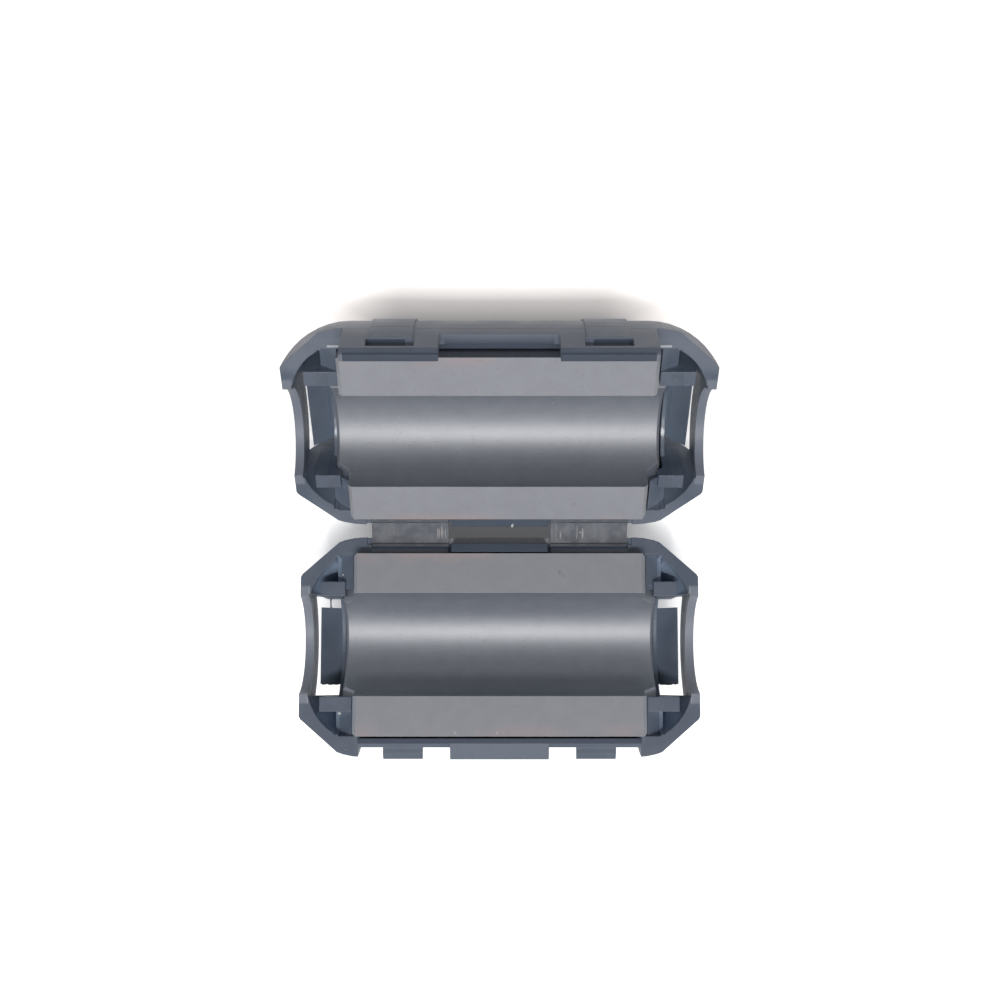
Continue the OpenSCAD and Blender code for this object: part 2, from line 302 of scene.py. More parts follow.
for name, (degrees, size, power) in LAMPS.items():
    lean = math.radians(degrees)
    data = bpy.data.lights.new(name, "AREA")
    data.shape = "RECTANGLE"
    data.size, data.size_y = size
    data.energy = power
    lamp = link(bpy.data.objects.new(name, data))
    lamp.location = (0, -LAMP_AWAY * math.sin(lean), LAMP_AWAY * math.cos(lean))
    lamp.rotation_euler = (-lean, 0, 0)
    print(name, "at", [round(v, 3) for v in lamp.location], "power", power, "W")
bpy.context.scene.view_settings.view_transform = "Standard"

# %% [markdown]
# ## Where on the part a point lies
#
# Both halves are alike, and each leans by 22.5 degrees. A finish that changes from
# the ferrite's flat faces to its bore needs to know where a point lies on its half.
# Painting a mask by hand would work, but the halves mirror each other in the plane
# y = 0, so one group of nodes can fold that plane over and turn the lean away. It
# gives three distances (along the cable, across to the latch, and up from the
# ferrite's flat faces), and the radius from the cable's own axis.

# %% Group: place on a half
AXIS_Y, AXIS_Z = 8.9266 * MM, 9.7426 * MM
LEAN = math.radians(22.5)

half_place, put, out = new_group(
    "place_on_a_half", {"Place": ("Vector", None)},
    {"Along": "Float", "Across": "Float", "Up": "Float", "Radius": "Float"})
axis = add(half_place, "SeparateXYZ", {0: put["Place"]}).outputs
over = maths(half_place, "SUBTRACT", maths(half_place, "ABSOLUTE", axis["Y"]), AXIS_Y)
rise = maths(half_place, "SUBTRACT", axis["Z"], AXIS_Z)


def turned(first, second):
    """over * first + rise * second"""
    return maths(half_place, "ADD", maths(half_place, "MULTIPLY", over, first),
                 maths(half_place, "MULTIPLY", rise, second))


half_place.links.new(maths(half_place, "ABSOLUTE", axis["X"]), out["Along"])
half_place.links.new(turned(math.cos(LEAN), math.sin(LEAN)), out["Across"])
half_place.links.new(turned(-math.sin(LEAN), math.cos(LEAN)), out["Up"])
squares = maths(half_place, "ADD", maths(half_place, "POWER", over, 2.0),
                maths(half_place, "POWER", rise, 2.0))
half_place.links.new(maths(half_place, "SQRT", squares), out["Radius"])

# %% [markdown]
# ## Worn and rounded edges
#
# No moulded or ground edge is perfectly sharp: a rounding of a tenth of a
# millimetre catches the lamp, and fingers polish it lighter. The edges could be
# bevelled as geometry, but these solids come from CAD and stay as they are. A Bevel
# node rounds the normal instead, and where the rounded normal leans away from the
# true one, there is an edge to lighten.

# %% Group: worn edges
worn_edges, put, out = new_group(
    "worn_edges", {"Place": ("Vector", None), "Radius": ("Float", 0.1 * MM),
                   "Patch": ("Float", 0.5 * MM)},
    {"Wear": "Float", "Normal": "Vector"})
rounded = add(worn_edges, "Bevel", {"Radius": put["Radius"]}, samples=4).outputs[0]
true = add(worn_edges, "NewGeometry").outputs["Normal"]
facing = add(worn_edges, "VectorMath", {0: rounded, 1: true}, operation="DOT_PRODUCT")
edge = ramp(worn_edges, facing.outputs["Value"], 0.995, 0.82)
uneven = ramp(worn_edges, noise(worn_edges, put["Place"], put["Patch"], 3.0),
              0.35, 0.65, 0.25, 1.0)
worn_edges.links.new(maths(worn_edges, "MULTIPLY", edge, uneven), out["Wear"])
worn_edges.links.new(rounded, out["Normal"])

# %% [markdown]
# ## Moulded skin
#
# Plastic from a spark-eroded mould has a fine even grain, lumps about a tenth of a
# millimetre across, and a slow cloudiness where the melt flowed. Grain this fine
# can't be modelled, so it is a height for a Bump node. The cloud is a mask that
# shifts colour and gloss.

# %% Group: moulded skin
moulded_skin, put, out = new_group(
    "moulded_skin", {"Place": ("Vector", None), "Grain": ("Float", 0.12 * MM),
                     "Flow": ("Float", 3 * MM)},
    {"Height": "Float", "Cloud": "Float"})
coarse_grain = maths(moulded_skin, "MULTIPLY", put["Grain"], 4.0)
fine = noise(moulded_skin, put["Place"], put["Grain"], 2.0)
coarse = noise(moulded_skin, put["Place"], coarse_grain, 1.0)
cloud = noise(moulded_skin, put["Place"], put["Flow"], 3.0)
moulded_skin.links.new(maths(moulded_skin, "ADD", fine, coarse), out["Height"])
moulded_skin.links.new(ramp(moulded_skin, cloud, 0.3, 0.7), out["Cloud"])

# %% [markdown]
# ## Slate plastic of the two shells
#
# The case is dark slate nylon, slightly blue, with a soft gloss. Its colour here is
# not even: lips and some faces are painted paler as painted light, and narrow gaps
# and recesses are painted darker as painted shade. An image map would need
# unwrapping and paint. Here each such patch is a mask made from the distances on a
# half, which costs one or two nodes, so first come the colours and the helpers that
# make a mask.

# %% Slate plastic: colours and masks
# Besides the two slates that drift at random, these are a pale slate for edge wear and painted
# light, two for painted light in hollows, a deep one for painted shade, and a paler one for
# painted light and painted highlights.
SLATE_LIGHT = (0.089, 0.110, 0.148, 1)
SLATE_DARK = (0.063, 0.082, 0.119, 1)
SLATE_WORN_AND_LIT = (0.21, 0.230, 0.275, 1)
SLATE_HOLLOW_LIGHT = (0.165, 0.205, 0.270, 1)
SLATE_POCKET_LIGHT = (0.33, 0.41, 0.53, 1)
SLATE_PAINTED_SHADE = (0.006, 0.018, 0.042, 1)
SLATE_PAINTED_LIGHT = (0.50, 0.52, 0.55, 1)
PLASTIC_IOR = 1.53

slate, tree, shader, where = new_material("slate_plastic", IOR=PLASTIC_IOR)
spot = use(tree, half_place, {"Place": where})
skin = use(tree, moulded_skin, {"Place": where})
edges = use(tree, worn_edges, {"Place": where, "Radius": 0.12 * MM, "Patch": 0.8 * MM})
own_half = add(tree, "SeparateXYZ", {0: where}).outputs["Y"]
upper = maths(tree, "GREATER_THAN", own_half, 0.0)
lower = maths(tree, "SUBTRACT", 1.0, upper)


def within(label, middle, reach):
    """A mask of the points whose distance called label is within reach of middle, in mm."""
    return maths(tree, "COMPARE", spot[label], middle * MM, reach * MM)


def from_to(label, low, high):
    """A mask that is 0 at low and 1 at high, in mm."""
    return ramp(tree, spot[label], low * MM, high * MM)


def both(*masks):
    result = masks[0]
    for mask in masks[1:]:
        result = maths(tree, "MULTIPLY", result, mask)
    return result


def either(*masks):
    result = masks[0]
    for mask in masks[1:]:
        result = maths(tree, "MAXIMUM", result, mask)
    return result


# %% [markdown]
# The patches follow, from the ends of the case to the latch and then the hinge.
# Each has limits on every distance that matters, so that it doesn't come through on
# the back of the shell. The rim highlight is a painted highlight, a short pale line
# along the edge of the rim. The rings beside the ferrite were polished in the mould,
# and carry a small white highlight at each end of the bore.

# %% Slate plastic: where the patches lie
pockets = both(lower, within("Along", 15.6, 1.4),
               either(from_to("Across", 4.6, 4.9), from_to("Across", -4.6, -4.9)))
lips = both(from_to("Along", 16.8, 16.95), from_to("Radius", 5.5, 5.2))
inner_lip = both(lower, within("Along", 16.95, 0.03), from_to("Radius", 5.5, 5.2))
ring = both(upper, from_to("Radius", 6.35, 6.2), within("Along", 14.4, 0.5))
backs = both(upper, from_to("Radius", 6.5, 9.4))
rim_face = both(upper, within("Up", -1.35, 0.05), from_to("Across", 5.5, 6.5))
rim_highlight = both(upper, within("Across", 8.25, 0.09), within("Up", -1.35, 0.05),
               within("Along", 13.1, 0.6))

skirt_side = both(upper, from_to("Across", 8.9, 9.1), from_to("Up", -3.0, 2.1))
skirt_tip = both(upper, from_to("Up", 2.15, 2.42))
skirt_corner_highlight = both(skirt_tip, within("Along", 12.25, 0.25))
ledge = both(upper, within("Up", -0.2, 0.05), from_to("Across", 10.0, 8.95),
             within("Along", 0, 4.3))
recess_foot = both(upper, within("Up", -1.35, 0.05), from_to("Across", 7.85, 7.95),
                   within("Along", 0, 12.3))
windows = both(upper, within("Across", 9.2, 0.68), within("Along", 9.9, 2.6),
               within("Up", 0.55, 0.3))
lap_foot = both(lower, within("Across", 8.3, 0.31), within("Along", 0, 12.5),
                from_to("Up", -2.8, -2.6))

shelf = both(lower, within("Along", 8, 3.4), from_to("Across", -7.9, -8.1),
             from_to("Up", -1.6, -1.4))
hinge_walls = both(within("Along", 0, 4.6), from_to("Across", -8.1, -8.2),
                   from_to("Up", -1.3, -1.1))
hinge_step = both(lower, within("Along", 0, 4.6), within("Up", -1.49, 0.1),
                  from_to("Across", -8.9, -9.0))

# %% [markdown]
# Now the paint. The base drifts between two slates, and edges are rubbed paler.
# Hollows are painted lighter as painted light, which lifts the shade in them, most
# of all in the lower shell's end pockets. A list then lays the patches over it in
# order: painted light and painted highlights on some faces, painted shade in narrow
# gaps and recesses.

# %% Slate plastic: paint
shade = blend(tree, skin["Cloud"], SLATE_DARK, SLATE_LIGHT)
shade = blend(tree, maths(tree, "MULTIPLY", edges["Wear"], 0.45), shade, SLATE_WORN_AND_LIT)
# painted light: the more a point is hidden, the more it takes a lighter slate
hollow = add(tree, "AmbientOcclusion", {"Distance": 3 * MM}, samples=4).outputs["AO"]
hollow_light = blend(tree, pockets, SLATE_HOLLOW_LIGHT, SLATE_POCKET_LIGHT)
shade = blend(tree, ramp(tree, hollow, 0.75, 0.15, 0.0, 0.8), shade, hollow_light)
# Painted light on the lips, backs, rim faces, shelf, hinge step and inner lip; painted shade on
# the skirt, ledge, recess foot, hinge walls, lap foot and windows; painted highlights on the skirt
# corner and along the rim.
PATCHES = [  # mask, share and colour, painted in this order
    (both(lips, lower), 0.8, SLATE_WORN_AND_LIT), (both(lips, upper), 0.55, SLATE_WORN_AND_LIT),
    (either(backs, rim_face), 0.3, SLATE_WORN_AND_LIT), (shelf, 0.8, SLATE_WORN_AND_LIT),
    (hinge_step, 0.9, SLATE_PAINTED_LIGHT), (inner_lip, 0.5, SLATE_PAINTED_LIGHT),
    (skirt_side, 0.34, SLATE_PAINTED_SHADE), (skirt_tip, 0.7, SLATE_PAINTED_SHADE), (ledge, 0.9, SLATE_PAINTED_SHADE),
    (skirt_corner_highlight, 0.6, SLATE_WORN_AND_LIT), (recess_foot, 0.74, SLATE_PAINTED_SHADE),
    (either(both(hinge_walls, lower), lap_foot, windows), 0.85, SLATE_PAINTED_SHADE),
    (both(hinge_walls, upper), 0.65, SLATE_PAINTED_SHADE), (rim_highlight, 0.8, SLATE_PAINTED_LIGHT)]
for mask, share, colour in PATCHES:
    shade = blend(tree, maths(tree, "MULTIPLY", mask, share), shade, colour)
print(len(PATCHES), "patches painted on the slate plastic")
tree.links.new(shade, shader.inputs["Base Color"])
matt = ramp(tree, skin["Cloud"], 0.0, 1.0, 0.46, 0.56)
tree.links.new(ramp(tree, ring, 0.0, 1.0, matt, 0.2), shader.inputs["Roughness"])
relief(tree, shader, skin["Height"], 0.004 * MM, edges["Normal"])

# %% [markdown]
# ## Whitened plastic of the hinge
#
# The strap is the same plastic, but so thin that light gets into it, and folding
# has stretched it pale in streaks that run from shell to shell. It was pressed
# against a polished part of the mould, but the stretching has left it about as matt
# as the case. The streaks could be drawn one by one, but a noise pulled out along
# the strap gives them all. The side near the lower shell gets painted shade, and the
# two round edges, which lie in the shells' grooves, are painted dark as painted shade.

# %% Hinge plastic
HINGE_DARK = (0.037, 0.044, 0.060, 1)
HINGE_PALE = (0.100, 0.109, 0.135, 1)
HINGE_GROOVE_SHADE = (0.014, 0.017, 0.024, 1)
SHADED = (0.72, 0.72, 0.74, 1)
STREAK_PULL = (1.0, 0.22, 1.0)

hinge_plastic, tree, shader, where = new_material("strap_plastic", IOR=PLASTIC_IOR)
axis = add(tree, "SeparateXYZ", {0: where}).outputs
skin = use(tree, moulded_skin, {"Place": where, "Grain": 0.2 * MM, "Flow": 1.2 * MM})
edges = use(tree, worn_edges, {"Place": where, "Radius": 0.06 * MM, "Patch": 0.4 * MM})
pulled = add(tree, "Mapping", {"Vector": where, "Scale": STREAK_PULL}).outputs[0]
streak = ramp(tree, noise(tree, pulled, 0.35 * MM, 3.0, 0.6), 0.42, 0.68)
cloudy = maths(tree, "MULTIPLY", skin["Cloud"], 0.6)
inner = ramp(tree, maths(tree, "ABSOLUTE", axis["X"]), 6.3 * MM, 4.8 * MM, 0.35, 1.0)
pale = maths(tree, "MULTIPLY", maths(tree, "MAXIMUM", streak, cloudy), inner)
shade = blend(tree, pale, HINGE_DARK, HINGE_PALE)
shade = blend(tree, maths(tree, "MULTIPLY", edges["Wear"], 0.5), shade, SLATE_WORN_AND_LIT)
# painted shade: darker towards the lower shell, and darker still over the round edges in the
# grooves
shade = blend(tree, ramp(tree, axis["Y"], 0.1 * MM, -0.7 * MM), shade, SHADED, "MULTIPLY")
shade = blend(tree, ramp(tree, axis["Y"], -0.76 * MM, -0.88 * MM), shade, HINGE_GROOVE_SHADE)
shade = blend(tree, ramp(tree, axis["Y"], -1.15 * MM, -1.25 * MM), shade, SLATE_DARK)
tree.links.new(shade, shader.inputs["Base Color"])
tree.links.new(ramp(tree, skin["Cloud"], 0.0, 1.0, 0.48, 0.60), shader.inputs["Roughness"])
relief(tree, shader, maths(tree, "ADD", skin["Height"], streak), 0.003 * MM, edges["Normal"])

# %% [markdown]
# ## Ferrite: pits and glints
#
# Ferrite is a sintered ceramic. Its skin holds small dark pits, and a few crystal
# faces glint in the lamp: those are painted glints, lighter dots in the colour. Both
# could be scattered as thousands of tiny meshes. A Voronoi texture gives one random
# dot in each cell instead, and only the cells whose random colour is high enough
# keep theirs.

# %% Group: ceramic specks
ceramic_specks, put, out = new_group(
    "ceramic_specks", {"Place": ("Vector", None), "Spacing": ("Float", 0.45 * MM)},
    {"Pits": "Float", "Painted_glints": "Float", "Mottle": "Float"})


def dots(spacing, keep, size):
    """Dots of size times the spacing, in the share of cells that is over keep."""
    cells = add(ceramic_specks, "TexVoronoi", {
        "Vector": put["Place"], "Scale": one_over(ceramic_specks, spacing)})
    chance = add(ceramic_specks, "SeparateColor", {0: cells.outputs["Color"]}).outputs[0]
    dot = ramp(ceramic_specks, cells.outputs["Distance"], size, size * 0.5)
    return maths(ceramic_specks, "MULTIPLY", dot,
                 maths(ceramic_specks, "GREATER_THAN", chance, keep))


closer = maths(ceramic_specks, "MULTIPLY", put["Spacing"], 0.6)
broad = maths(ceramic_specks, "MULTIPLY", put["Spacing"], 3.0)
ceramic_specks.links.new(dots(put["Spacing"], 0.72, 0.28), out["Pits"])
ceramic_specks.links.new(dots(closer, 0.86, 0.22), out["Painted_glints"])
ceramic_specks.links.new(ramp(ceramic_specks, noise(ceramic_specks, put["Place"], broad, 4.0),
                              0.3, 0.7), out["Mottle"])

# %% [markdown]
# ## Ferrite: ground faces and pressed bore
#
# The two flat faces of each half are ground, so that the halves meet with no gap:
# they are matt and a little lilac. The bore keeps its skin from the press, darker
# and glossier. Each skin could be a material of its own. But the exporter reads one
# material per piece well, so both sit in one, and height over the flats chooses.

# %% Ferrite: two skins
GROUND = (0.202, 0.209, 0.241, 1)
GROUND_DARK = (0.185, 0.191, 0.222, 1)
PRESSED = (0.126, 0.139, 0.168, 1)
PRESSED_DARK = (0.110, 0.122, 0.150, 1)
PRESSED_COOL_LIGHT = (0.27, 0.32, 0.40, 1)
LOWER_GROUND_SHADE = (0.83, 0.83, 0.83, 1)
FERRITE_IOR = 2.15

ferrite, tree, shader, where = new_material("sintered_ferrite", IOR=FERRITE_IOR)
axis = add(tree, "SeparateXYZ", {0: where}).outputs
spot = use(tree, half_place, {"Place": where})
specks = use(tree, ceramic_specks, {"Place": where})
edges = use(tree, worn_edges, {"Place": where, "Radius": 0.09 * MM, "Patch": 0.3 * MM})
flat = ramp(tree, spot["Up"], -0.06 * MM, -0.03 * MM)
on_lower = maths(tree, "LESS_THAN", axis["Y"], 0.0)
on_upper = maths(tree, "SUBTRACT", 1.0, on_lower)

ground = blend(tree, specks["Mottle"], GROUND_DARK, GROUND)
# painted shade: the lower half's ground faces are darkened
ground = blend(tree, on_lower, ground, LOWER_GROUND_SHADE, "MULTIPLY")
pressed = blend(tree, specks["Mottle"], PRESSED_DARK, PRESSED)
# painted shade on the upper bore's hinge side; painted light, paler and cooler, as a painted
# reflection on the lower bore's latch side
hinge_side = maths(tree, "MULTIPLY", ramp(tree, spot["Across"], -1.5 * MM, -4 * MM), on_upper)
latch_side = maths(tree, "MULTIPLY", ramp(tree, spot["Across"], 1.5 * MM, 4 * MM), on_lower)
pressed = blend(tree, hinge_side, pressed, SHADED, "MULTIPLY")
pressed = blend(tree, maths(tree, "MULTIPLY", latch_side, 0.30), pressed, PRESSED_COOL_LIGHT)
shade = blend(tree, flat, pressed, ground)

# %% [markdown]
# A trace of red-brown polishing slurry has dried along the outer edges of the ground
# faces, most of it on the hinge side, and a few small smudges and chips lie on the
# flats. Slurry dries unevenly, so a noise breaks it up. The smudges are too few for a
# texture, so a list gives the place of each.

# %% Ferrite: slurry, pits and smudges
SLURRY = (0.285, 0.205, 0.195, 1)
CHIP_AND_GLINT = (0.36, 0.365, 0.40, 1)
PIT = (0.09, 0.092, 0.105, 1)
SLURRY_X = 5 * MM
SMUDGES = [  # place and radius in mm, share and colour
    ((6.4, 3.1, 7.35), 0.2, 0.4, PIT), ((5.30, -3.10, 7.35), 0.26, 0.8, PIT),
    ((5.62, -3.35, 7.45), 0.2, 0.55, PIT), ((-3.86, -16.03, 12.69), 0.16, 0.5, CHIP_AND_GLINT),
    ((-0.22, -16.03, 12.69), 0.16, 0.5, CHIP_AND_GLINT)]

rim = maths(tree, "MULTIPLY", flat,
            ramp(tree, maths(tree, "ABSOLUTE", spot["Across"]), 6.6 * MM, 7.9 * MM))
from_slurry = maths(tree, "ABSOLUTE", maths(tree, "ADD", axis["X"], SLURRY_X))
hinge_edge = maths(tree, "MULTIPLY", ramp(tree, spot["Across"], -7.0 * MM, -8.0 * MM),
                   ramp(tree, from_slurry, 6 * MM, 3 * MM, 0.0, 0.55))
patchy = ramp(tree, noise(tree, where, 5 * MM, 3.0), 0.47, 0.62, 0.0, 0.4)
stain = maths(tree, "MULTIPLY", rim, maths(tree, "MAXIMUM", patchy, hinge_edge))
shade = blend(tree, stain, shade, SLURRY)
shade = blend(tree, maths(tree, "MULTIPLY", specks["Pits"], 0.25), shade, PIT)
for place_mm, radius, share, colour in SMUDGES:
    away = add(tree, "VectorMath", {0: where, 1: [v * MM for v in place_mm]},
               operation="DISTANCE").outputs["Value"]
    smudge = ramp(tree, away, radius * MM, radius * 0.4 * MM, 0.0, share)
    shade = blend(tree, smudge, shade, colour)
# painted glints: lighter dots where crystal faces catch the lamp
shade = blend(tree, maths(tree, "MULTIPLY", specks["Painted_glints"], 0.25), shade, CHIP_AND_GLINT)
shade = blend(tree, maths(tree, "MULTIPLY", edges["Wear"], 0.5), shade, CHIP_AND_GLINT)
tree.links.new(shade, shader.inputs["Base Color"])
print(len(SMUDGES), "smudges and chips on the ferrite")

# %% [markdown]
# Grinding leaves fine lines along the bead, and pressing leaves an even grain. Both
# are far too fine to model, so they are one relief: noise drawn out along the cable
# on the flats, and plain noise less the pits everywhere.

# %% Ferrite: gloss and relief
LINE_PULL = (0.03, 1.0, 1.0)
ROUGH_BORE, ROUGH_FLAT = 0.47, 0.70

tree.links.new(ramp(tree, flat, 0.0, 1.0, ROUGH_BORE, ROUGH_FLAT), shader.inputs["Roughness"])
lines = add(tree, "Mapping", {"Vector": where, "Scale": LINE_PULL}).outputs[0]
ground_lines = maths(tree, "MULTIPLY", noise(tree, lines, 0.09 * MM), flat)
grain = maths(tree, "ADD", noise(tree, where, 0.07 * MM), ground_lines)
relief(tree, shader, maths(tree, "SUBTRACT", grain, specks["Pits"]), 0.006 * MM, edges["Normal"])

# %% [markdown]
# ## Finishes onto the CAD pieces
#
# The solids keep their own meshes and only get a material each. The case and the
# two ferrite halves look alike in pairs, so three materials serve five pieces.

# %% Give the CAD pieces their finishes
FINISH = {"lower_shell": slate, "upper_shell": slate, "hinge_strap": hinge_plastic,
          "lower_core": ferrite, "upper_core": ferrite}
for name, material in FINISH.items():
    mesh = frame["nodes"][name].data
    mesh.materials.clear()
    mesh.materials.append(material)
    print(name, "->", material.name)

# %% [markdown]
# ## Small pieces grown by Geometry Nodes
#
# Two kinds of detail here are one small shape repeated: the ridges on the hinge and
# the grains of dust. A tree of Geometry Nodes holds the shape once, with named
# sizes. A helper fills a modifier's inputs by each socket's identifier, takes the
# result as a plain mesh, and throws the modifier away, so that what rides on a
# body is only a mesh.

# %% Geometry Nodes helpers
def geo(tree, kind, values=None, **settings):
    return add(tree, kind, values, family="GeometryNode", **settings)


def new_geometry_tree(name, sockets_in):
    tree = bpy.data.node_groups.new(name, "GeometryNodeTree")
    tree.interface.new_socket("Geometry", in_out="INPUT", socket_type="NodeSocketGeometry")
    for label, kind in sockets_in.items():
        tree.interface.new_socket(label, in_out="INPUT", socket_type="NodeSocket" + kind)
    tree.interface.new_socket("Geometry", in_out="OUTPUT", socket_type="NodeSocketGeometry")
    print("geometry tree", name, "with inputs", list(sockets_in))
    return tree, tree.nodes.new("NodeGroupInput").outputs, tree.nodes.new("NodeGroupOutput").inputs


def random_vector(tree, low, high, seed):
    """A random vector for each point. A Random Value node's first two sockets limit it."""
    return add(tree, "RandomValue", {0: low, 1: high, "Seed": seed}, family="FunctionNode",
               data_type="FLOAT_VECTOR").outputs[0]


def coat_and_end(tree, copies, material, out):
    """Ends a tree: copies become real geometry, which gets the material."""
    solid = geo(tree, "RealizeInstances", {0: copies})
    coated = geo(tree, "SetMaterial", {0: solid.outputs[0], "Material": material})
    tree.links.new(coated.outputs[0], out[0])


def grown(name, tree, mesh, sizes):
    """The plain mesh that the tree makes from mesh with these sizes, as an object."""
    carrier = link(bpy.data.objects.new(name + "_carrier", mesh))
    modifier = carrier.modifiers.new("grow", "NODES")
    modifier.node_group = tree
    for item in tree.interface.items_tree:
        if item.in_out == "INPUT" and item.name in sizes:
            modifier[item.identifier] = sizes[item.name]
    graph = bpy.context.evaluated_depsgraph_get()
    made = bpy.data.meshes.new_from_object(carrier.evaluated_get(graph), depsgraph=graph)
    made.name = name
    bpy.data.objects.remove(carrier)
    piece = link(bpy.data.objects.new(name, made))
    print(name, "has", len(made.polygons), "faces")
    return piece


# %% [markdown]
# ## Ridges on the hinge webs
#
# Folding draws the thin webs out, and fine pale ridges rise on them. They run
# straight from shell to shell, and most lie near the inner edge of each web. They
# could be painted, but they catch the lamp, so they are shapes. One ridge is a long
# low spindle, half sunk in the web. The row is a line of points with a step, moved a
# little at random, and each point carries one spindle.

# %% Tree: web ridges
NUDGE = (0.05 * MM, 0.2 * MM, 0)
SPINDLE_SHARES = (0.6, 0.45, 0.6), (1.3, 1.0, 1.2)

web_ridges, put, out = new_geometry_tree("web_ridges", {
    "Count": "Int", "First": "Vector", "Step": "Vector", "Spindle": "Vector", "Seed": "Int",
    "Material": "Material"})
row = geo(web_ridges, "MeshLine", {"Count": put["Count"], "Start Location": put["First"],
                                   "Offset": put["Step"]}, mode="OFFSET")
nudge = random_vector(web_ridges, [-v for v in NUDGE], NUDGE, put["Seed"])
row = geo(web_ridges, "SetPosition", {"Geometry": row.outputs[0], "Offset": nudge})
ball = geo(web_ridges, "MeshIcoSphere", {"Radius": 1.0, "Subdivisions": 3})
share = random_vector(web_ridges, *SPINDLE_SHARES, put["Seed"])
spindle = add(web_ridges, "VectorMath", {0: put["Spindle"], 1: share}, operation="MULTIPLY")
ridges = geo(web_ridges, "InstanceOnPoints", {
    "Points": row.outputs[0], "Instance": ball.outputs[0], "Scale": spindle.outputs[0]})
coat_and_end(web_ridges, ridges.outputs[0], put["Material"], out)

# %% [markdown]
# The ridges are the hinge's own plastic, stretched until it whitens. The moulded skin
# serves again, with a finer grain and a faster drift between two pale greys. Each row
# names its first place, its step, its number and its seed.

# %% Ridges on the hinge webs
RIDGE_DARK = (0.14, 0.137, 0.145, 1)
RIDGE_PALE = (0.225, 0.215, 0.222, 1)
WEB_TOP = 5.545
SPINDLE = (0.075 * MM, 0.8 * MM, 0.03 * MM)
ROWS = {  # first x and step in x in mm, number of ridges and seed
    "ridges_left_web": (-4.80, -0.17, 5, 3), "ridges_right_web": (5.05, 0.34, 2, 8),
    "ridges_far_right_web": (6.9, 0.42, 2, 5)}

pale_plastic, tree, shader, where = new_material("pale_plastic", Roughness=0.45, IOR=PLASTIC_IOR)
skin = use(tree, moulded_skin, {"Place": where, "Grain": 0.1 * MM, "Flow": 0.6 * MM})
tree.links.new(blend(tree, skin["Cloud"], RIDGE_DARK, RIDGE_PALE), shader.inputs["Base Color"])
relief(tree, shader, skin["Height"], 0.003 * MM)

for name, (first, step, count, seed) in ROWS.items():
    piece = grown(name, web_ridges, bpy.data.meshes.new(name + "_start"), {
        "Count": count, "First": (first * MM, 0, WEB_TOP * MM), "Step": (step * MM, 0, 0),
        "Spindle": SPINDLE, "Seed": seed, "Material": pale_plastic})
    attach(piece, "strap")

# %% [markdown]
# ## Crumbs and dust
#
# A few pale crumbs of plastic lie on the bead, and finer dust around them. Each is
# dropped straight down onto whatever solid is under it, by a ray cast against the
# solids' triangles, and then belongs to that solid's body. The crumbs could be
# placed one by one as spheres. Instead their places become points with a radius,
# and one tree sets a rough little ball on each. The ferrite's flat faces stay clear,
# because they meet when the case is shut, and a crumb there would be crushed.

# %% Drop points onto the solids
CRUMBS = [  # x, y and radius in mm of the crumbs that are large enough to see
    (1.12, 0.95, 0.19), (-2.64, -0.70, 0.13), (7.14, 0.09, 0.12), (-14.18, -15.38, 0.16),
    (-14.02, -3.95, 0.09)]
DUST_COUNT = 40
DUST_RADII = (0.018, 0.035)
DUST_SEED = 20
LEVEL_ENOUGH = 0.5
SUNK = 0.4
SKY = 0.05

solids = {}
for name, node in frame["nodes"].items():
    mesh = node.data
    solids[name] = BVHTree.FromPolygons([v.co for v in mesh.vertices],
                                        [tuple(p.vertices) for p in mesh.polygons])
body_of = {node: body for body, names in frame["record"]["behaviour"]["bodies"].items()
           for node in names}


def dropped(x, y):
    """The highest solid under a point in plan: (place, normal, node), or None."""
    hits = []
    for name, solid in solids.items():
        spot, normal, _, _ = solid.ray_cast(Vector((x, y, SKY)), Vector((0, 0, -1)))
        if spot is not None:
            hits.append((spot.z, spot, normal, name))
    return max(hits)[1:] if hits else None


def on_a_flat(spot, node):
    """Whether a place lies on one of the ferrite's ground faces."""
    over, rise = abs(spot.y) - AXIS_Y, spot.z - AXIS_Z
    return node.endswith("core") and rise * math.cos(LEAN) - over * math.sin(LEAN) > -0.1 * MM


dice = random.Random(DUST_SEED)
low, high = cad_box
spots = [(x * MM, y * MM, radius * MM) for x, y, radius in CRUMBS]
spots += [(dice.uniform(low[0], high[0]), dice.uniform(low[1], high[1]),
           dice.uniform(*DUST_RADII) * MM) for _ in range(DUST_COUNT)]
settled = {body: [] for body in frame["bodies"]}
for x, y, radius in spots:
    hit = dropped(x, y)
    if hit is None:
        continue
    spot, normal, node = hit
    if normal.z > LEVEL_ENOUGH and not on_a_flat(spot, node):
        settled[body_of[node]].append((spot + normal * radius * SUNK, radius))
print("crumbs settled:", {body: len(places) for body, places in settled.items()})

# %% [markdown]
# The tree reads each point's radius, squashes and turns a small ball at random, and
# sets it there. A crumb is pale and matt, with grit in its colour and its surface.
# One mesh is made for each body that crumbs lie on, so that it moves with the body.

# %% Crumbs on their points
CRUMB_DARK, CRUMB_PALE = (0.45, 0.46, 0.46, 1), (0.80, 0.79, 0.76, 1)
SQUASH = (0.6, 0.6, 0.5), (1.2, 1.2, 0.9)
FULL_TURN = 6.28

